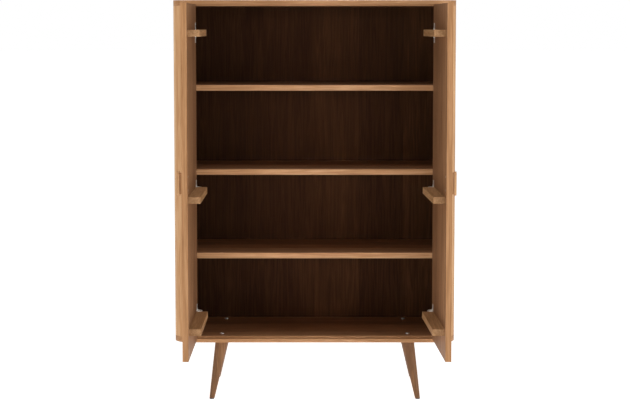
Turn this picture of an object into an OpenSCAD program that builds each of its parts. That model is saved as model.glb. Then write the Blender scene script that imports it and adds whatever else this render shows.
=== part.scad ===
// Two-door wooden cabinet with rounded front corners on four splayed legs.
// X runs to the right, Y from the front to the back, Z up. The origin is on the floor,
// midway between the sides, in the plane of the shut doors' front faces.

/* [Cabinet] */
// Width over the sides
cabinet_w = 900; // [640:5:1400]
// Depth from the door fronts to the back edges
cabinet_d = 400; // [300:5:600]
// Height of the carcass without its legs
carcass_h = 1092; // [900:4:1600]

/* [Boards] */
// Thickness of the top, the bottom and the shelves
board_t = 18; // [15:1:30]
// Thickness of the side panels
side_t = 18; // [15:1:30]
// Thickness of the front lip that the doors shut behind
lip_t = 11.5; // [8:0.5:14]
// Distance of the shelves' front edges behind the shut doors
shelf_setback = 7; // [4:1:40]
// Gap at the ends of a shelf, at its notches and behind it
shelf_gap = 1.5; // [0.5:0.5:3]
// Thickness of the back panel
back_t = 8; // [4:1:12]
// Distance of the back panel from the carcass's back edges
back_inset = 10; // [4:1:16]
// Width of the step that the back panel lies in
back_step = 8; // [6:1:10]

/* [Corner posts] */
// Width of a front corner post
post_w = 54; // [44:1:80]
// Depth of a front corner post
post_d = 84; // [78:1:120]
// Radius of the rounded front corners
corner_r = 54; // [20:1:54]

/* [Doors] */
// Thickness of a door
door_t = 18; // [16:1:24]
// Gap around a door
door_gap = 2.5; // [1.5:0.5:4]
// Gap between a shut door and the step behind its ends
door_back_gap = 2; // [1:0.5:4]
// Angle that the left door stands open at
left_open = 90; // [60:1:100]
// Angle that the right door stands open at
right_open = 92; // [60:1:100]

/* [Battens] */
// Height of a batten
batten_h = 20; // [14:1:40]
// Depth of a batten from the door's inner face
batten_d = 36; // [24:1:50]
// Distance of a batten from the door's swing axis
batten_hinge_gap = 44.5; // [43:0.5:80]
// Distance of a batten from the door's free edge
batten_free_gap = 26; // [10:1:60]
// Height of the lowest batten's centre above the bottom panel's underside
batten_low = 98; // [60:1:200]
// Distance of the middle batten's centre below the shelf above it
batten_mid_drop = 42.5; // [30:0.5:120]
// Distance of the highest batten's centre below the top panel's upper face
batten_high = 103; // [60:1:200]

/* [Pulls] */
// Height of a pull
pull_h = 72; // [40:1:200]
// Width of a pull
pull_w = 16; // [12:1:30]
// Distance that a pull stands out from the door
pull_out = 14; // [12:0.5:30]
// Width of the neck that holds a pull off the door
pull_neck_w = 9; // [8:0.5:12]
// Distance of a pull's centre from the door's free edge
pull_edge = 24; // [14:1:60]
// Distance of a pull's centre below the middle of the door
pull_drop = 1; // [-200:1:200]

/* [Legs] */
// Height of the legs with their glides
leg_h = 188; // [100:1:300]
// Diameter of a leg at the bottom panel
leg_top_d = 42; // [34:1:60]
// Diameter of a leg at its foot
leg_foot_d = 16; // [12:1:30]
// Distance that a leg leans out, both sideways and to the front or back
leg_splay = 32; // [0:1:60]
// Distance of a leg's top centre from the side of the cabinet
leg_in_x = 150; // [60:1:200]
// Distance of a leg's top centre from the front or back of the cabinet
leg_in_y = 58; // [50:1:100]
// Thickness of a foot glide
glide_t = 3; // [2:0.5:6]

/* [Fasteners] */
// Diameter of the dowels
dowel_d = 8; // [6:1:10]
// Length of a dowel in the edge that it joins
dowel_in = 22; // [14:1:30]
// Diameter of the shelf pins
pin_d = 5; // [4:0.5:6]
// Diameter of the wood screws
screw_d = 4; // [3:0.5:5]
// Diameter of the leg bolts
bolt_d = 8; // [6:1:10]

/* [Hidden] */
$fn = 48;

// colours
oak = "#c8986a";
oak_inside = "#8a6243";
steel = "#c9ccce";
nylon = "#4a4643";

// clearance round a fastener, and the length that a cut runs past a face
slip = 0.05;
past = 1;

// carcass
left = -1;
right = 1;
half_w = cabinet_w / 2;
inner_x = half_w - side_t;
opening_x = half_w - post_w;
bottom_z = leg_h;
top_z = bottom_z + carcass_h;
inner_z0 = bottom_z + board_t;
inner_z1 = top_z - board_t;
door_step_d = door_t + door_back_gap;
door_step_h = board_t - lip_t;
back_y = cabinet_d - back_inset - back_t;
bay_h = (inner_z1 - inner_z0 - 3 * board_t) / 4;

// doors: their own frame has its origin on the swing axis, X to the free edge, Y into the cabinet.
// The hinges set the axis's distance from the door's inner face, so a thicker door's front corner
// swings wider, and the axis then lies further in from the door's hinge edge to keep it off the post.
door_in_y = 18;
door_out_y = door_in_y - door_t;
swing_clear = door_gap - 0.3;
corner_need = (door_out_y * door_out_y - swing_clear * swing_clear) / (2 * swing_clear);
axis_in = max(0.5, ceil(corner_need * 10) / 10);
swing_x = opening_x - door_gap - axis_in;
swing_y = -door_out_y;
door_w = opening_x - 1.5 * door_gap;
door_z0 = bottom_z + lip_t + door_gap;
door_z1 = top_z - lip_t - door_gap;
batten_zs = [bottom_z + batten_low, shelf_z(2) - batten_mid_drop, top_z - batten_high];
batten_x0 = batten_hinge_gap;
batten_x1 = door_w - axis_in - batten_free_gap;
batten_screw_in = 30;
batten_screw_xs = spread(batten_x0 + batten_screw_in, batten_x1 - batten_screw_in, 3);
batten_sink = 5;
batten_screw_bite = 12;
pull_z = (door_z0 + door_z1) / 2 - pull_drop;
pull_x = door_w - axis_in - pull_edge;
pull_bar_t = 6.5;
pull_screw_share = 0.36;
pull_screw_dz = (pull_h - pull_w) * pull_screw_share;
pull_screw_bite = 7;

// hinges: a bought fitting, so its own sizes stay as they are
cup_x = 22;
cup_d = 35;
cup_depth = 12;
cup_wall = 1.2;
cup_rim_w = 1.5;
flange_t = 1.2;
flange_w = 20;
flange_h = 62;
cup_screw_x = cup_x + 6;
cup_screw_dz = 24;
cup_screw_d = 3;
cup_screw_l = 12;
plate_t = 3;
plate_y0 = 30;
plate_l = 42;
plate_h = 44;
plate_wing_w = 12;
plate_screw_y = 55;
plate_screw_dz = 16;
plate_screw_l = 14;

// legs
insert_d = 12;
insert_l = 25;
insert_floor = 2;
bolt_head_d = 14;
bolt_head_h = 3;
bolt_socket_d = 6;
bolt_socket_depth = 2;
bolt_l = board_t + 20;
glide_inset = 0.5;

// Z of the underside of shelf n, where 1 is the lowest
function shelf_z(n) = inner_z0 + n * bay_h + (n - 1) * board_t;

// count places spread evenly from the first to the last
function spread(first, last, count) = [for (i = [0 : count - 1]) first + i * (last - first) / (count - 1)];

// ---- helpers ----

// turns a door's own frame to its place, at its rest angle
module at_door(side) {
    open = side == left ? left_open : right_open;
    translate([side * swing_x, swing_y, 0])
        rotate([0, 0, side * open])
            mirror([side == right ? 1 : 0, 0, 0])
                children();
}

// the swing axis's frame, where a side's fixed and shut parts are drawn
module at_jamb(side) {
    translate([side * swing_x, swing_y, 0])
        mirror([side == right ? 1 : 0, 0, 0])
            children();
}

// a cylinder along +X or +Y from the origin
module rod_x(r, l) rotate([0, 90, 0]) cylinder(r = r, h = l);
module rod_y(r, l) rotate([-90, 0, 0]) cylinder(r = r, h = l);

// countersunk screw along -Z, its flat head's face at the origin
module screw(d, l, head) {
    translate([0, 0, -l])
        cylinder(r = d / 2, h = l);
    translate([0, 0, -head / 2])
        cylinder(r1 = d / 2, r2 = head / 2, h = head / 2);
}

// ---- carcass ----

// outline of the top and bottom panels: round front corners, square back
module panel_outline() {
    union() {
        translate([-half_w, corner_r])
            square([cabinet_w, cabinet_d - corner_r]);
        translate([-half_w + corner_r, 0])
            square([cabinet_w - 2 * corner_r, corner_r]);
        for (side = [left, right])
            translate([side * (half_w - corner_r), corner_r])
                circle(r = corner_r, $fn = 96);
    }
}

// centres of the upright dowels that join a side and its post to the top and bottom
dowel_end_gap = 40;
dowel_blind = 11;
side_dowel_ys = spread(post_d + dowel_end_gap, back_y - dowel_end_gap, 3);
dowel_spots = [
    [half_w - post_w / 2, post_d / 2],
    for (y = side_dowel_ys) [half_w - side_t / 2, y]
];

module upright_dowels(r) {
    for (side = [left, right])
        for (p = dowel_spots)
            for (z = [inner_z0 - dowel_blind, inner_z1 - dowel_in])
                translate([side * p[0], p[1], z])
                    cylinder(r = r, h = dowel_in + dowel_blind);
}

// dowels that join a side panel's front edge to its post
post_dowel_end = 80;
post_dowel_zs = spread(inner_z0 + post_dowel_end, inner_z1 - post_dowel_end, 5);

module post_dowels(r) {
    for (side = [left, right])
        for (z = post_dowel_zs)
            translate([side * (half_w - side_t / 2), post_d - dowel_in, z])
                rod_y(r, 2 * dowel_in);
}

module carcass_dowels() {
    color(oak)
        union() {
            upright_dowels(dowel_d / 2 - slip);
            post_dowels(dowel_d / 2 - slip);
        }
}

// flat panel with a step for the doors and one for the back, both on its upper side
module stepped_panel() {
    difference() {
        linear_extrude(board_t)
            panel_outline();
        translate([-opening_x, -past, lip_t])
            cube([2 * opening_x, door_step_d + past, door_step_h + past]);
        translate([-inner_x - back_step, back_y, board_t - back_step])
            cube([2 * (inner_x + back_step), cabinet_d, back_step + past]);
    }
}

module top_panel() {
    color(oak)
        difference() {
            translate([0, 0, top_z])
                mirror([0, 0, 1])
                    stepped_panel();
            upright_dowels(dowel_d / 2);
            back_screws(back_screw_d / 2);
        }
}

module bottom_panel() {
    color(oak)
        difference() {
            translate([0, 0, bottom_z])
                stepped_panel();
            upright_dowels(dowel_d / 2);
            back_screws(back_screw_d / 2);
            all_legs()
                translate([0, 0, -past])
                    cylinder(r = bolt_d / 2 + slip, h = board_t + 2 * past);
        }
}

module corner_post(side) {
    color(oak)
        difference() {
            translate([0, 0, inner_z0])
                linear_extrude(inner_z1 - inner_z0)
                    mirror([side == left ? 1 : 0, 0])
                        intersection() {
                            translate([opening_x, 0])
                                square([post_w, post_d]);
                            panel_outline();
                        }
            upright_dowels(dowel_d / 2);
            post_dowels(dowel_d / 2);
            at_jamb(side)
                plate_screws(screw_d / 2);
        }
}

module left_corner_post() corner_post(left);
module right_corner_post() corner_post(right);

module side_panel(side) {
    color(oak)
        difference() {
            mirror([side == left ? 1 : 0, 0, 0])
                difference() {
                    translate([inner_x, post_d, inner_z0])
                        cube([side_t, cabinet_d - post_d, inner_z1 - inner_z0]);
                    translate([inner_x - past, back_y, inner_z0 - past])
                        cube([back_step + past, cabinet_d, inner_z1 - inner_z0 + 2 * past]);
                }
            upright_dowels(dowel_d / 2);
            post_dowels(dowel_d / 2);
            shelf_pin_stems(pin_d / 2);
            back_screws(back_screw_d / 2);
        }
}

module left_side_panel() side_panel(left);
module right_side_panel() side_panel(right);

// places of the screws that hold the back panel, along its edges
back_screw_in = back_step / 2;
back_screw_end_x = 40;
back_screw_end_z = 90;
back_screw_xs = spread(-inner_x + back_screw_end_x, inner_x - back_screw_end_x, 5);
back_screw_zs = spread(inner_z0 + back_screw_end_z, inner_z1 - back_screw_end_z, 5);
back_screw_l = 22;
back_screw_d = 3;

module back_screw_spots() {
    for (x = back_screw_xs)
        for (z = [inner_z0 - back_screw_in, inner_z1 + back_screw_in])
            translate([x, back_y + back_t, z])
                rotate([-90, 0, 0])
                    children();
    for (side = [left, right])
        for (z = back_screw_zs)
            translate([side * (inner_x + back_screw_in), back_y + back_t, z])
                rotate([-90, 0, 0])
                    children();
}

module back_screws(r) {
    back_screw_spots()
        screw(2 * r, back_screw_l, 4 * r);
}

module back_panel() {
    panel_w = 2 * (inner_x + back_step - shelf_gap / 2);
    panel_z0 = inner_z0 - back_step + shelf_gap / 2;
    panel_z1 = inner_z1 + back_step - shelf_gap / 2;
    color(oak_inside)
        difference() {
            translate([-panel_w / 2, back_y, panel_z0])
                cube([panel_w, back_t, panel_z1 - panel_z0]);
            back_screws(back_screw_d / 2 + slip);
        }
}

module back_panel_screws() {
    color(steel)
        back_screws(back_screw_d / 2);
}

// ---- shelves ----

shelf_x = inner_x - shelf_gap;
shelf_notch_x = opening_x - shelf_gap;
shelf_y0 = door_t + shelf_setback;
shelf_y1 = back_y - shelf_gap;
pin_front_gap = 26;
pin_back_gap = 40;
pin_ys = [post_d + pin_front_gap, back_y - pin_back_gap];
pin_stem = 9;
pin_reach = 10;
pin_collar_t = 1;

module shelf(n) {
    color(oak)
        translate([0, 0, shelf_z(n)])
            difference() {
                translate([-shelf_x, shelf_y0, 0])
                    cube([2 * shelf_x, shelf_y1 - shelf_y0, board_t]);
                for (side = [left, right])
                    translate([side * (shelf_notch_x + post_w / 2), post_d / 2, board_t / 2])
                        cube([post_w, post_d + 2 * shelf_gap, board_t + 2 * past], center = true);
            }
}

module shelf_lower() shelf(1);
module shelf_middle() shelf(2);
module shelf_upper() shelf(3);

// each pin's axis is at its shelf's underside less its radius, X to the middle of the cabinet
module shelf_pin_spots() {
    for (side = [left, right])
        for (n = [1 : 3])
            for (y = pin_ys)
                translate([side * inner_x, y, shelf_z(n) - pin_d / 2])
                    mirror([side == right ? 1 : 0, 0, 0])
                        children();
}

module shelf_pin_stems(r) {
    shelf_pin_spots()
        translate([-pin_stem, 0, 0])
            rod_x(r, pin_stem + pin_collar_t);
}

module shelf_pins() {
    color(steel) {
        shelf_pin_stems(pin_d / 2 - slip);
        shelf_pin_spots()
            rod_x(pin_d / 2 - slip, pin_reach);
    }
}

// ---- legs ----

// the centre of a leg's top: side is left or right, end is -1 at the front and 1 at the back
module at_leg(side, end) {
    y = end < 0 ? leg_in_y : cabinet_d - leg_in_y;
    translate([side * (half_w - leg_in_x), y, bottom_z])
        children();
}

// a leaning cone with both ends cut level, so the foot is flat on its glide
module leg(side, end) {
    tilt = atan2(norm([leg_splay, leg_splay]), leg_h);
    axis_l = leg_h / cos(tilt);
    run_out = leg_top_d / 2;
    taper = (leg_top_d - leg_foot_d) / 2 / axis_l;
    color(oak_inside)
        at_leg(side, end)
            difference() {
                intersection() {
                    rotate([0, 0, atan2(end, side)])
                        rotate([0, 180 - tilt, 0])
                            translate([0, 0, -run_out])
                                cylinder(
                                    r1 = leg_top_d / 2 + taper * run_out,
                                    r2 = leg_foot_d / 2 - taper * run_out,
                                    h = axis_l + 2 * run_out,
                                    $fn = 64
                                );
                    translate([-leg_h, -leg_h, glide_t - leg_h])
                        cube([2 * leg_h, 2 * leg_h, leg_h - glide_t]);
                }
                translate([0, 0, -insert_l])
                    cylinder(r = insert_d / 2, h = insert_l + past);
            }
}

module leg_front_left() leg(left, -1);
module leg_front_right() leg(right, -1);
module leg_back_left() leg(left, 1);
module leg_back_right() leg(right, 1);

module all_legs() {
    for (side = [left, right])
        for (end = [-1, 1])
            at_leg(side, end)
                children();
}

module leg_inserts() {
    color(steel)
        all_legs()
            difference() {
                translate([0, 0, -insert_l])
                    cylinder(r = insert_d / 2 - slip, h = insert_l);
                translate([0, 0, insert_floor - insert_l])
                    cylinder(r = bolt_d / 2, h = insert_l);
            }
}

module leg_bolts() {
    color(steel)
        all_legs()
            translate([0, 0, board_t]) {
                translate([0, 0, -bolt_l])
                    cylinder(r = bolt_d / 2 - slip, h = bolt_l);
                difference() {
                    cylinder(r = bolt_head_d / 2, h = bolt_head_h);
                    translate([0, 0, bolt_head_h - bolt_socket_depth])
                        cylinder(r = bolt_socket_d / 2, h = bolt_head_h, $fn = 6);
                }
            }
}

module foot_glides() {
    color(nylon)
        for (side = [left, right])
            for (end = [-1, 1])
                at_leg(side, end)
                    translate([side * leg_splay, end * leg_splay, -leg_h])
                        cylinder(r = leg_foot_d / 2 - glide_inset, h = glide_t);
}

// ---- hinges, drawn at height 0 in the swing axis's frame ----

jamb_x = -(door_gap + axis_in);

module plate_screws(r) {
    for (z = batten_zs)
        for (dz = [-plate_screw_dz, plate_screw_dz])
            translate([jamb_x + plate_t, plate_screw_y, z + dz])
                rotate([0, 90, 0])
                    screw(2 * r, plate_screw_l, 4 * r);
}

module hinge_plates(side) {
    color(steel)
        at_jamb(side)
            difference() {
                for (z = batten_zs)
                    translate([jamb_x, 0, z]) {
                        translate([0, plate_y0, -arm_h / 2])
                            cube([plate_t, plate_l, arm_h]);
                        translate([0, plate_screw_y - plate_wing_w / 2, -plate_h / 2])
                            cube([plate_t, plate_wing_w, plate_h]);
                    }
                plate_screws(screw_d / 2 + slip);
            }
}

module left_hinge_plates() hinge_plates(left);
module right_hinge_plates() hinge_plates(right);

module left_plate_screws() {
    color(steel)
        at_jamb(left)
            plate_screws(screw_d / 2);
}

module right_plate_screws() {
    color(steel)
        at_jamb(right)
            plate_screws(screw_d / 2);
}

// the link's eye turns on a pin in the arm's nose, and its blade bends round into the cup of the
// open door. link_c is the centre of the bend, link_end_a the blade's end as an angle round it, and
// link_ratio the share of the door's turn that the link makes.
link_pin = [2.5, 22.6];
link_pin_r = 1.5;
link_eye_r = 2.8;
link_t = 1.8;
link_h = 10;
link_c = [13, 6.3];
link_end_a = -86;
link_ratio = 0.77;

// a channel on the plate, whose nose is two cheeks with the link's pin between them
arm_h = 16;
arm_wall = 1.6;
arm_web = 3;
arm_nose_l = 17.5;

module hinge_arms(side) {
    arm_x0 = jamb_x + plate_t;
    arm_x1 = link_pin[0] + link_eye_r;
    arm_y0 = link_pin[1] - link_eye_r;
    arm_l = plate_y0 + plate_l - arm_y0;
    hollow_h = arm_h - 2 * arm_wall;
    color(steel)
        at_jamb(side)
            for (z = batten_zs)
                translate([0, 0, z]) {
                    difference() {
                        translate([arm_x0, arm_y0, -arm_h / 2])
                            cube([arm_x1 - arm_x0, arm_l, arm_h]);
                        translate([arm_x0 - past, arm_y0 - past, -hollow_h / 2])
                            cube([arm_x1 - arm_x0 + 2 * past, arm_nose_l + past, hollow_h]);
                        translate([arm_x0 + arm_web, arm_y0 - past, -hollow_h / 2])
                            cube([arm_x1 - arm_x0, arm_l + 2 * past, hollow_h]);
                    }
                    translate([link_pin[0], link_pin[1], -arm_h / 2])
                        cylinder(r = link_pin_r, h = arm_h);
                }
}

module left_hinge_arms() hinge_arms(left);
module right_hinge_arms() hinge_arms(right);

// a strip of thickness t and height h, bent at radius r round the centre c from angle a0 to a1
module bent_strip(c, a0, a1, r, t, h) {
    translate([c[0], c[1], -h / 2])
        rotate([0, 0, a0])
            rotate_extrude(angle = a1 - a0, $fn = 96)
                translate([r - t / 2, 0])
                    square([t, h]);
}

module hinge_link() {
    arm = link_pin - link_c;
    r = norm(arm);
    a1 = atan2(arm[1], arm[0]);
    difference() {
        union() {
            bent_strip(link_c, link_end_a, a1, r, link_t, link_h);
            translate([link_pin[0], link_pin[1], -link_h / 2])
                cylinder(r = link_eye_r, h = link_h);
        }
        translate([link_pin[0], link_pin[1], -link_h / 2 - past])
            cylinder(r = link_pin_r + slip, h = link_h + 2 * past);
    }
}

// the links stay at the same angle whatever angle the doors are drawn at
module hinge_links(side) {
    open = side == left ? left_open : right_open;
    color(steel)
        at_jamb(side)
            for (z = batten_zs)
                translate([link_pin[0], link_pin[1], z])
                    rotate([0, 0, (90 - open) * link_ratio])
                        translate([-link_pin[0], -link_pin[1], 0])
                            hinge_link();
}

module left_hinge_links() hinge_links(left);
module right_hinge_links() hinge_links(right);

// ---- doors, drawn in the swing axis's frame ----

module at_cups() {
    for (z = batten_zs)
        translate([cup_x, door_in_y, z])
            rotate([-90, 0, 0])
                children();
}

module cup_screws(r) {
    for (z = batten_zs)
        for (dz = [-cup_screw_dz, cup_screw_dz])
            translate([cup_screw_x, door_in_y + flange_t, z + dz])
                rotate([-90, 0, 0])
                    screw(2 * r, cup_screw_l, 4 * r);
}

module batten_screws(r, z) {
    for (x = batten_screw_xs)
        translate([x, door_in_y + batten_d - batten_sink, z])
            rotate([-90, 0, 0])
                screw(2 * r, batten_d - batten_sink + batten_screw_bite, 4 * r);
}

module pull_screws(r) {
    for (dz = [-pull_screw_dz, pull_screw_dz])
        translate([pull_x, door_in_y, pull_z + dz])
            rotate([-90, 0, 0])
                screw(2 * r, door_t + pull_screw_bite, 4 * r);
}

module door_panel(side) {
    color(oak_inside)
        at_door(side)
            difference() {
                translate([-axis_in, door_out_y, door_z0])
                    cube([door_w, door_t, door_z1 - door_z0]);
                at_cups()
                    translate([0, 0, -cup_depth])
                        cylinder(r = cup_d / 2 + slip, h = cup_depth + past);
                cup_screws(cup_screw_d / 2);
                for (z = batten_zs)
                    batten_screws(screw_d / 2, z);
                pull_screws(screw_d / 2 + slip);
            }
}

module left_door_panel() door_panel(left);
module right_door_panel() door_panel(right);

module batten(side, n) {
    z = batten_zs[n];
    color(oak_inside)
        at_door(side)
            difference() {
                translate([batten_x0, door_in_y, z - batten_h / 2])
                    cube([batten_x1 - batten_x0, batten_d, batten_h]);
                batten_screws(screw_d / 2 + slip, z);
                for (x = batten_screw_xs)
                    translate([x, door_in_y + batten_d - batten_sink, z])
                        rod_y(screw_d + slip, batten_sink + past);
            }
}

module left_batten_lower() batten(left, 0);
module left_batten_middle() batten(left, 1);
module left_batten_upper() batten(left, 2);
module right_batten_lower() batten(right, 0);
module right_batten_middle() batten(right, 1);
module right_batten_upper() batten(right, 2);

module all_batten_screws(side) {
    color(steel)
        at_door(side)
            for (z = batten_zs)
                batten_screws(screw_d / 2, z);
}

module left_batten_screws() all_batten_screws(left);
module right_batten_screws() all_batten_screws(right);

module hinge_cups(side) {
    color(steel)
        at_door(side)
            difference() {
                at_cups()
                    difference() {
                        union() {
                            translate([0, 0, -cup_depth])
                                cylinder(r = cup_d / 2, h = cup_depth);
                            cylinder(r = cup_d / 2 + cup_rim_w, h = flange_t);
                            translate([cup_screw_x - cup_x - flange_w / 2, -flange_h / 2, 0])
                                cube([flange_w, flange_h, flange_t]);
                        }
                        translate([0, 0, cup_wall - cup_depth])
                            cylinder(r = cup_d / 2 - cup_wall, h = cup_depth + flange_t + past);
                    }
                cup_screws(cup_screw_d / 2 + slip);
            }
}

module left_hinge_cups() hinge_cups(left);
module right_hinge_cups() hinge_cups(right);

module left_cup_screws() {
    color(steel)
        at_door(left)
            cup_screws(cup_screw_d / 2);
}

module right_cup_screws() {
    color(steel)
        at_door(right)
            cup_screws(cup_screw_d / 2);
}

// bar with round ends, held off the door by a narrower neck
module pull(side) {
    color(oak_inside)
        at_door(side)
            difference() {
                translate([pull_x, door_out_y, pull_z])
                    rotate([90, 0, 0]) {
                        translate([0, 0, pull_out - pull_bar_t])
                            linear_extrude(pull_bar_t)
                                round_bar(pull_w, pull_h);
                        linear_extrude(pull_out - pull_bar_t + past)
                            round_bar(pull_neck_w, pull_h - pull_w + pull_neck_w);
                    }
                pull_screws(screw_d / 2);
            }
}

module round_bar(w, h) {
    square([w, h - w], center = true);
    for (end = [-1, 1])
        translate([0, end * (h - w) / 2])
            circle(r = w / 2);
}

module left_pull() pull(left);
module right_pull() pull(right);

module left_pull_screws() {
    color(steel)
        at_door(left)
            pull_screws(screw_d / 2);
}

module right_pull_screws() {
    color(steel)
        at_door(right)
            pull_screws(screw_d / 2);
}

top_panel();
bottom_panel();
left_corner_post();
right_corner_post();
left_side_panel();
right_side_panel();
back_panel();
shelf_lower();
shelf_middle();
shelf_upper();
shelf_pins();
carcass_dowels();
back_panel_screws();
leg_front_left();
leg_front_right();
leg_back_left();
leg_back_right();
leg_inserts();
leg_bolts();
foot_glides();
left_hinge_plates();
left_hinge_arms();
left_plate_screws();
left_hinge_links();
right_hinge_plates();
right_hinge_arms();
right_plate_screws();
right_hinge_links();
left_door_panel();
left_batten_lower();
left_batten_middle();
left_batten_upper();
left_batten_screws();
left_hinge_cups();
left_cup_screws();
left_pull();
left_pull_screws();
right_door_panel();
right_batten_lower();
right_batten_middle();
right_batten_upper();
right_batten_screws();
right_hinge_cups();
right_cup_screws();
right_pull();
right_pull_screws();
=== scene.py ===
"""Looks of a two-door oak cabinet on splayed legs: finishes, eased edges, floor, light and camera."""

import math

import bpy
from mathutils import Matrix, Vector


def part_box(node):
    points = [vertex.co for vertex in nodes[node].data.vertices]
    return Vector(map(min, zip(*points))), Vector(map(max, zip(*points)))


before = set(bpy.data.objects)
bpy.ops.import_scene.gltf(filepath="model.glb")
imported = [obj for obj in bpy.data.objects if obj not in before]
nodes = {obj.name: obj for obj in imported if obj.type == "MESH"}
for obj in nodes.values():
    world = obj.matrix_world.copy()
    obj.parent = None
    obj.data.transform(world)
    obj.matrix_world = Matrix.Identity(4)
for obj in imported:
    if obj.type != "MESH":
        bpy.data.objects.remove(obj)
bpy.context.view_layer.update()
MM = 0.001
MIX_COLOUR = 2  # a Mix node's colour output; its two colours go in at 6 and 7

# ---- small helpers ----


def linear(hex_colour):
    """An sRGB hex colour as linear red, green, blue and alpha."""
    out = []
    for i in (0, 2, 4):
        c = int(hex_colour[i : i + 2], 16) / 255
        out.append(c / 12.92 if c <= 0.04045 else ((c + 0.055) / 1.055) ** 2.4)
    return (*out, 1.0)


def add(tree, kind, settings=None, **inputs):
    """A node of that kind. settings are its properties; inputs are values, or (node, output) to link."""
    node = tree.nodes.new("ShaderNode" + kind)
    for name, value in (settings or {}).items():
        setattr(node, name, value)
    for name, value in inputs.items():
        key = int(name[1:]) if name[1:].isdigit() else name.replace("_", " ")
        if isinstance(value, tuple) and isinstance(value[0], bpy.types.Node):
            tree.links.new(value[0].outputs[value[1]], node.inputs[key])
        else:
            node.inputs[key].default_value = value
    return node


def ramp(tree, factor, stops):
    """A colour ramp with (place, hex) stops."""
    node = add(tree, "ValToRGB", i0=factor)
    bar = node.color_ramp
    while len(bar.elements) < len(stops):
        bar.elements.new(0.5)
    for element, (place, hex_colour) in zip(bar.elements, stops):
        element.position = place
        element.color = linear(hex_colour)
    return node


def new_material(name):
    """An empty material and its node tree."""
    material = bpy.data.materials.new(name)
    material.use_nodes = True
    material.node_tree.nodes.clear()
    return material, material.node_tree


def finish_material(tree, shader):
    """Puts a shader on the material's surface."""
    output = add(tree, "OutputMaterial")
    tree.links.new(shader.outputs[0], output.inputs["Surface"])


def dress(names, material):
    """Gives nodes of the cabinet a material."""
    for name in names:
        slots = nodes[name].data.materials
        slots.clear()
        slots.append(material)


# ---- wood ----

BOARD_STAVE_W = 58 * MM  # widths of the staves that the boards are glued up from
DOOR_STAVE_W = 46 * MM
POST_STAVE_W = 17 * MM
BACK_LEAF_W = 150 * MM  # width of a leaf of the back's veneer
ONE_STAVE = 3.0  # the stave number of a part cut from a single piece
STAVE_SHIFT = 7.0  # metres that the grain is moved by from one stave to the next
RING_W = 5.5 * MM  # width of a growth ring on a flat-sawn face
RING_L = 420 * MM  # length over which a ring line wanders
RINGS_PER_SWIRL = 3  # growth rings in the width of one swirl of the pattern
LINES_PER_SWIRL = 9.0  # folds of the pattern that draw the ring lines
FIBRE_W = 1.8 * MM  # pore streaks are 0.3 mm wide in oak, and drawn wider so that they show
FIBRE_L = 55 * MM
CLOUD_W = 60 * MM  # size of the soft light and dark areas
CLOUD_L = 300 * MM
PORE_DEPTH = 0.3 * MM
OIL_IOR = 1.45
RING_SHARE = 0.28  # how far each pattern darkens or lightens the wood
FIBRE_SHARE = 0.5
CLOUD_SHARE = 0.45
DARKEST = 0.35  # sums of the patterns that take the first and the last tone
PALEST = 1.1
SHADE_FROM_Y = 21 * MM  # painted shade on level boards starts this far behind the cabinet's front, leaving a pale front strip
FACING_FROM = 0.6  # a face turns from unshaded edge to painted shade between these shares of facing the axis
FACING_TO = 0.75

# tones from the darkest grain to the palest, as (place, colour)
OAK_TONES = [(0.0, "8d5f38"), (0.3, "ae7d50"), (0.6, "c39263"), (1.0, "d9b084")]
SHELF_TONES = [(0.0, "805432"), (0.3, "9e7048"), (0.6, "b4855a"), (1.0, "c99f75")]
EDGE_TONES = [(0.0, "7c5230"), (0.3, "966a42"), (0.6, "ab7c52"), (1.0, "c0946a")]
LEG_TONES = [(0.0, "4a2f1b"), (0.4, "644328"), (0.75, "775231"), (1.0, "8e6640")]
# partly the oak's own tone and partly painted shade: darkened halfway to the shaded face tones
BATTEN_HALF_SHADE_TONES = [(0.0, "6b4729"), (0.35, "866038"), (0.7, "a07750"), (1.0, "b88e64")]
# painted shade: a darker copy of the oak for faces that the light barely reaches
SHADED_FACE_TONES = [(0.0, "60412a"), (0.35, "7c5639"), (0.7, "956b49"), (1.0, "ad815c")]
# painted shade: a near-black copy of the oak for the inside of the carcass
DEEP_SHADE_TONES = [(0.0, "2f190d"), (0.35, "3d2413"), (0.7, "4b2f1a"), (1.0, "5c3b23")]
BEECH_TONES = [(0.0, "c9a273"), (1.0, "e0c197")]


def painted_shade_faces(tree, place, parts, axis, sign):
    """1 on the faces that look that way along the axis, where shade is painted, and 0 on the others.

    A level face keeps 0 on its front strip, where no shade is painted.
    """
    facing = add(tree, "SeparateXYZ", Vector=(place, "Normal"))
    signed = add(tree, "Math", {"operation": "MULTIPLY"}, i0=(facing, "XYZ".index(axis)), i1=sign)
    flat = add(
        tree, "MapRange", Value=(signed, 0), From_Min=FACING_FROM, From_Max=FACING_TO,
        To_Min=0.0, To_Max=1.0,
    )
    if axis != "Z":
        return flat
    behind = add(
        tree, "MapRange", Value=(parts, 1), From_Min=SHADE_FROM_Y, From_Max=SHADE_FROM_Y + MM,
        To_Min=0.0, To_Max=1.0,
    )
    return add(tree, "Math", {"operation": "MULTIPLY"}, i0=(flat, 0), i1=(behind, 0))


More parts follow.
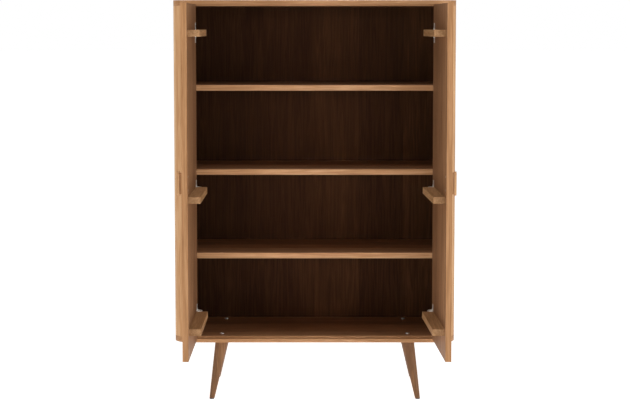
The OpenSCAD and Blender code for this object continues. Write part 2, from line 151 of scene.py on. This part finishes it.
def oak(
    name, tones, along, across=None, stave_w=BOARD_STAVE_W, rough=0.5, sheen=0.35, mixed=0.3, painted_shade=None
):
    """Sanded and oiled wood: warm satin staves with ring lines and pore streaks along the grain.

    along is the axis of the grain, and across the axis that the staves are laid side by side on.
    mixed is how much the staves differ. The last argument gives the axis, direction and tones of painted
    shade on the faces that look that way, which leaves the edges pale.
    """
    material, tree = new_material(name)
    place = add(tree, "TexCoord")
    parts = add(tree, "SeparateXYZ", Vector=(place, "Object"))
    axes = "XYZ"

    # each stave is another piece of timber: its own tone, and its grain starts elsewhere
    chance = add(tree, "TexWhiteNoise", {"noise_dimensions": "1D"}, W=ONE_STAVE)
    if across:
        counted = add(
            tree, "Math", {"operation": "DIVIDE"}, i0=(parts, axes.index(across)), i1=stave_w
        )
        stave = add(tree, "Math", {"operation": "FLOOR"}, i0=(counted, 0))
        tree.links.new(stave.outputs[0], chance.inputs["W"])
    away = add(tree, "VectorMath", {"operation": "SCALE"}, i0=(chance, "Color"), Scale=STAVE_SHIFT)
    shifted = add(tree, "VectorMath", {"operation": "ADD"}, i0=(place, "Object"), i1=(away, 0))

    def stretched(width, length):
        """Places measured in a pattern's own width and length, the length lying along the grain."""
        size = [length if axis == along else width for axis in axes]
        return add(tree, "VectorMath", {"operation": "DIVIDE"}, i0=(shifted, 0), i1=Vector(size))

    rings = add(
        tree, "TexNoise", Vector=(stretched(RING_W * RINGS_PER_SWIRL, RING_L), 0),
        Scale=1.0, Detail=3.0, Roughness=0.55, Distortion=0.6,
    )
    lines = add(tree, "Math", {"operation": "MULTIPLY"}, i0=(rings, 0), i1=LINES_PER_SWIRL)
    ring_lines = add(tree, "Math", {"operation": "PINGPONG"}, i0=(lines, 0), i1=1.0)
    fibre = add(
        tree, "TexNoise", Vector=(stretched(FIBRE_W, FIBRE_L), 0),
        Scale=1.0, Detail=4.0, Roughness=0.7,
    )
    cloud = add(
        tree, "TexNoise", Vector=(stretched(CLOUD_W, CLOUD_L), 0), Scale=1.0, Detail=2.0
    )

    total = add(tree, "Math", {"operation": "MULTIPLY"}, i0=(ring_lines, 0), i1=RING_SHARE)
    for pattern, share in ((fibre, FIBRE_SHARE), (cloud, CLOUD_SHARE), (chance, mixed)):
        total = add(
            tree, "Math", {"operation": "MULTIPLY_ADD"}, i0=(pattern, 0), i1=share, i2=(total, 0)
        )
    tone = add(
        tree, "MapRange", Value=(total, 0), From_Min=DARKEST, From_Max=PALEST, To_Min=0.0, To_Max=1.0
    )
    colour = (ramp(tree, (tone, 0), tones), 0)
    # painted shade: faces that look along the given axis take the darker shade tones
    if painted_shade:
        axis, sign, shade_tones = painted_shade
        in_painted_shade = painted_shade_faces(tree, place, parts, axis, sign)
        painted_shade_colour = (ramp(tree, (tone, 0), shade_tones), 0)
        shaded_mix = add(
            tree, "Mix", {"data_type": "RGBA"}, i0=(in_painted_shade, 0), i6=colour, i7=painted_shade_colour
        )
        colour = (shaded_mix, MIX_COLOUR)

    pores = add(
        tree, "MapRange", Value=(fibre, 0), From_Min=0.3, From_Max=0.55, To_Min=0.0, To_Max=1.0
    )
    relief = add(tree, "Bump", Strength=0.15, Distance=PORE_DEPTH, Height=(pores, 0))
    gloss = add(
        tree, "MapRange", Value=(fibre, 0), From_Min=0.3, From_Max=0.7,
        To_Min=rough + 0.1, To_Max=rough - 0.05,
    )
    shader = add(
        tree, "BsdfPrincipled", Base_Color=colour, Roughness=(gloss, 0), Normal=(relief, 0)
    )
    shader.inputs["IOR"].default_value = OIL_IOR
    shader.inputs["Specular IOR Level"].default_value = sheen
    finish_material(tree, shader)
    return material


# ---- metal and nylon ----

# plating and mould textures are finer than 0.2 mm, and all are drawn coarser so that they show
NICKEL_GRAIN = 1.5 * MM
ZINC_GRAIN = 1.0 * MM
PLATING_DEPTH = 0.05 * MM
SPARK_GRAIN = 0.8 * MM
SPARK_DEPTH = 0.1 * MM
NYLON_IOR = 1.53


def steel(name, dull, bright, rough, grain_w):
    """Plated steel: a bright metal whose gloss is broken up by the plating's fine grain."""
    material, tree = new_material(name)
    place = add(tree, "TexCoord")
    grain = add(tree, "TexNoise", Vector=(place, "Object"), Scale=1 / grain_w, Detail=3.0)
    gloss = add(
        tree, "MapRange", Value=(grain, 0), From_Min=0.3, From_Max=0.7,
        To_Min=rough - 0.06, To_Max=rough + 0.08,
    )
    relief = add(tree, "Bump", Strength=0.05, Distance=PLATING_DEPTH, Height=(grain, 0))
    tint = ramp(tree, (grain, 0), [(0.3, dull), (0.7, bright)])
    shader = add(
        tree, "BsdfPrincipled", Base_Color=(tint, 0), Roughness=(gloss, 0), Normal=(relief, 0)
    )
    shader.inputs["Metallic"].default_value = 1.0
    finish_material(tree, shader)
    return material


def nylon():
    """Dark nylon, dull all over from the fine spark texture of its mould."""
    material, tree = new_material("moulded_nylon")
    place = add(tree, "TexCoord")
    spark = add(tree, "TexNoise", Vector=(place, "Object"), Scale=1 / SPARK_GRAIN, Detail=2.0)
    relief = add(tree, "Bump", Strength=0.2, Distance=SPARK_DEPTH, Height=(spark, 0))
    tint = ramp(tree, (spark, 0), [(0.3, "3b3734"), (0.7, "4d4845")])
    shader = add(tree, "BsdfPrincipled", Base_Color=(tint, 0), Normal=(relief, 0))
    shader.inputs["Roughness"].default_value = 0.62
    shader.inputs["IOR"].default_value = NYLON_IOR
    finish_material(tree, shader)
    return material


# ---- the cabinet's materials ----

# wide boards: mid-brown solid edges round a duller, darker inside face, where shade is painted
lid_oak = oak("oiled_oak_top", EDGE_TONES, "X", "Y", painted_shade=("Z", -1, SHADED_FACE_TONES))
floor_oak = oak("oiled_oak_bottom", EDGE_TONES, "X", "Y", painted_shade=("Z", 1, SHADED_FACE_TONES))

# shelves lipped with solid oak: a light line along each front, with painted shade on the face behind it
shelf_oak = oak("oiled_oak_lipped_shelves", SHELF_TONES, "X", "Y", painted_shade=("Z", 1, SHADED_FACE_TONES))

# solid posts in narrow staves: the palest wood, in strong upright stripes
post_oak = oak("oiled_oak_solid_posts", OAK_TONES, "Z", "X", stave_w=POST_STAVE_W, mixed=0.55)

# sides: pale and warm outside, with deep painted shade on the inside face
left_side_oak = oak("oiled_oak_left_side", OAK_TONES, "Z", "Y", painted_shade=("X", 1, DEEP_SHADE_TONES))
right_side_oak = oak("oiled_oak_right_side", OAK_TONES, "Z", "Y", painted_shade=("X", -1, DEEP_SHADE_TONES))

# doors: mid-brown edges and outer faces, with painted shade on the inside face
left_door_oak = oak(
    "oiled_oak_left_door", EDGE_TONES, "Z", "Y", stave_w=DOOR_STAVE_W, painted_shade=("X", 1, SHADED_FACE_TONES)
)
right_door_oak = oak(
    "oiled_oak_right_door", EDGE_TONES, "Z", "Y", stave_w=DOOR_STAVE_W, painted_shade=("X", -1, SHADED_FACE_TONES)
)

# planed strips with the grain along them: battens, their tone halfway between edge and painted-shade
# face, and pale pulls
batten_oak = oak("oiled_oak_battens", BATTEN_HALF_SHADE_TONES, "Y")
pull_oak = oak("oiled_oak_pulls", OAK_TONES, "Z")

# turned and oiled: the darkest solid wood, smooth enough for a soft line of light down each leg
leg_oak = oak("turned_oiled_oak_legs", LEG_TONES, "Z", rough=0.42)

# sliced veneer in wide leaves, with little oil and dull; its near-black tone is painted shade, so that
# the inside recedes
back_oak = oak(
    "sliced_oak_veneer_back_painted_shade", DEEP_SHADE_TONES, "Z", "X", stave_w=BACK_LEAF_W, rough=0.7, sheen=0.1
)

# turned beech: pale and even, and hidden once the joints are glued
beech = oak("turned_beech_dowels", BEECH_TONES, "Z")

# pressed and nickel plated: warm white glints with blurred edges
nickel = steel("pressed_nickel_plated_steel", "e2dfd8", "f6f4ee", 0.42, NICKEL_GRAIN)

# cold-headed and zinc plated: a cooler, greyer glint
zinc = steel("cold_headed_zinc_plated_steel", "d6d8d7", "eceded", 0.4, ZINC_GRAIN)

# ---- dressing the cabinet's own nodes ----

shelves = ["shelf_lower", "shelf_middle", "shelf_upper"]
legs = [n for n in nodes if n.startswith("leg_") and n not in ("leg_bolts", "leg_inserts")]
battens = [n for n in nodes if "_batten_" in n and not n.endswith("screws")]
screws = [n for n in nodes if n.endswith("screws")] + ["leg_bolts", "leg_inserts", "shelf_pins"]
hinges = [n for n in nodes if "_hinge_" in n]

# carcass and shelves
dress(["top_panel"], lid_oak)
dress(["bottom_panel"], floor_oak)
dress(["left_corner_post", "right_corner_post"], post_oak)
dress(["left_side_panel"], left_side_oak)
dress(["right_side_panel"], right_side_oak)
dress(["back_panel"], back_oak)
dress(["carcass_dowels"], beech)
dress(shelves, shelf_oak)

# doors
dress(["left_door_panel"], left_door_oak)
dress(["right_door_panel"], right_door_oak)
dress(battens, batten_oak)
dress(["left_pull", "right_pull"], pull_oak)

# legs
dress(legs, leg_oak)
dress(["foot_glides"], nylon())

# hinges and fasteners
dress(hinges, nickel)
dress(screws, zinc)

# ---- eased edges ----

BOARD_EASE = 1.2 * MM  # boards, sanded
STICK_EASE = 1.5 * MM  # battens and pulls, sanded
PRESSED_EASE = 0.25 * MM  # hinge pressings
HEAD_EASE = 0.3 * MM  # bolt heads and glides
SHARPEST_KEPT = math.radians(35)  # edges that turn by less than this are left as they are
WELD_REACH = 0.01 * MM


def soften(name, width):
    """Eases a node's sharp edges, as sanding or pressing does."""
    piece = nodes[name]
    weld = piece.modifiers.new("join faces", "WELD")
    weld.merge_threshold = WELD_REACH
    bevel = piece.modifiers.new("eased edges", "BEVEL")
    bevel.width = width
    bevel.segments = 2
    bevel.limit_method = "ANGLE"
    bevel.angle_limit = SHARPEST_KEPT
    bevel.miter_outer = "MITER_ARC"


eased_boards = ["top_panel", "bottom_panel", "left_door_panel", "right_door_panel"] + shelves
pressed_parts = [n for n in hinges if not n.endswith("links")]
for width, names in (
    (BOARD_EASE, eased_boards),
    (STICK_EASE, battens + ["left_pull", "right_pull"]),
    (PRESSED_EASE, pressed_parts),
    (HEAD_EASE, ["leg_bolts", "foot_glides"]),
):
    for name in names:
        soften(name, width)

# ---- floor, light and camera ----

FLOOR_REACH = 80.0  # metres to each side, so that its edge lies out of sight
FLOOR_GLOW = 0.85  # keeps the floor white under the cabinet's shadow
ROLLER_NAP = 12 * MM  # a roller's nap is about 2 mm, and drawn coarser so that it shows
CAMERA_BACK = 5.4069  # metres in front of the cabinet's front
CAMERA_UP = 1.194
CAMERA_RIGHT = 0.0025
CAMERA_PITCH = math.radians(4.72)
CAMERA_SHIFT = -0.05
LENS = 97.44  # millimetres
SENSOR_W = 36.0

top_low, top_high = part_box("top_panel")
front_y = top_low.y
middle = Vector((0, front_y, top_high.z / 2))


def floor():
    """A wide floor in rolled matt white paint: evenly pale, with no reflection of the legs."""
    mesh = bpy.data.meshes.new("floor")
    signs = ((-1, -1), (1, -1), (1, 1), (-1, 1))
    corners = [(x * FLOOR_REACH, y * FLOOR_REACH, 0) for x, y in signs]
    mesh.from_pydata(corners, [], [(0, 1, 2, 3)])
    plane = bpy.data.objects.new("floor", mesh)
    bpy.context.scene.collection.objects.link(plane)
    material, tree = new_material("rolled_matt_white_paint_floor")
    place = add(tree, "TexCoord")
    nap = add(tree, "TexNoise", Vector=(place, "Object"), Scale=1 / ROLLER_NAP, Detail=2.0)
    tint = ramp(tree, (nap, 0), [(0.3, "f3f2f0"), (0.7, "f9f8f6")])
    shader = add(tree, "BsdfPrincipled", Base_Color=(tint, 0))
    shader.inputs["Roughness"].default_value = 0.9
    shader.inputs["Emission Color"].default_value = linear("ffffff")
    shader.inputs["Emission Strength"].default_value = FLOOR_GLOW
    finish_material(tree, shader)
    mesh.materials.append(material)


def area_light(name, place, aim, width, height, watts, spread=math.pi):
    """A soft white panel of light. spread is how wide its beam opens."""
    lamp = bpy.data.lights.new(name, "AREA")
    lamp.shape = "RECTANGLE"
    lamp.size = width
    lamp.size_y = height
    lamp.energy = watts
    lamp.spread = spread
    thing = bpy.data.objects.new(name, lamp)
    thing.location = place
    thing.rotation_euler = (Vector(aim) - Vector(place)).to_track_quat("-Z", "Y").to_euler()
    thing.visible_camera = False
    bpy.context.scene.collection.objects.link(thing)


def surroundings(seen, cast):
    """A white room: seen is its brightness to the eye, and cast what it lights the cabinet with."""
    world = bpy.data.worlds.new("white_room")
    bpy.context.scene.world = world
    world.use_nodes = True
    tree = world.node_tree
    tree.nodes.clear()
    ray = add(tree, "LightPath")
    strength = add(
        tree, "MapRange", Value=(ray, "Is Camera Ray"), From_Min=0.0, From_Max=1.0,
        To_Min=cast, To_Max=seen,
    )
    glow = add(tree, "Background", Strength=(strength, 0))
    glow.inputs["Color"].default_value = linear("ffffff")
    output = add(tree, "OutputWorld")
    tree.links.new(glow.outputs[0], output.inputs["Surface"])


floor()
surroundings(seen=1.0, cast=0.2)
area_light("left_softbox", (-3.4, -3.2, 1.3), middle, width=1.4, height=2.4, watts=40)
area_light("right_softbox", (3.4, -3.2, 1.3), middle, width=1.4, height=2.4, watts=70)
area_light("overhead_softbox", (0.0, -0.8, 4.5), middle, width=3.0, height=2.0, watts=70)
# a narrow beam that reaches in between the open doors and lights the shelves' middles most
area_light(
    "front_strip", (0.0, -3.0, 1.0), (0.0, 0.0, 0.75), width=0.2, height=1.2, watts=0.5,
    spread=math.radians(16),
)

camera_data = bpy.data.cameras.new("camera")
camera_data.sensor_width = SENSOR_W
camera_data.lens = LENS
camera_data.shift_y = CAMERA_SHIFT
camera = bpy.data.objects.new("camera", camera_data)
camera.location = (CAMERA_RIGHT, front_y - CAMERA_BACK, CAMERA_UP)
camera.rotation_euler = (math.pi / 2 - CAMERA_PITCH, 0, 0)
bpy.context.scene.collection.objects.link(camera)
bpy.context.scene.camera = camera
bpy.context.scene.view_settings.view_transform = "Standard"
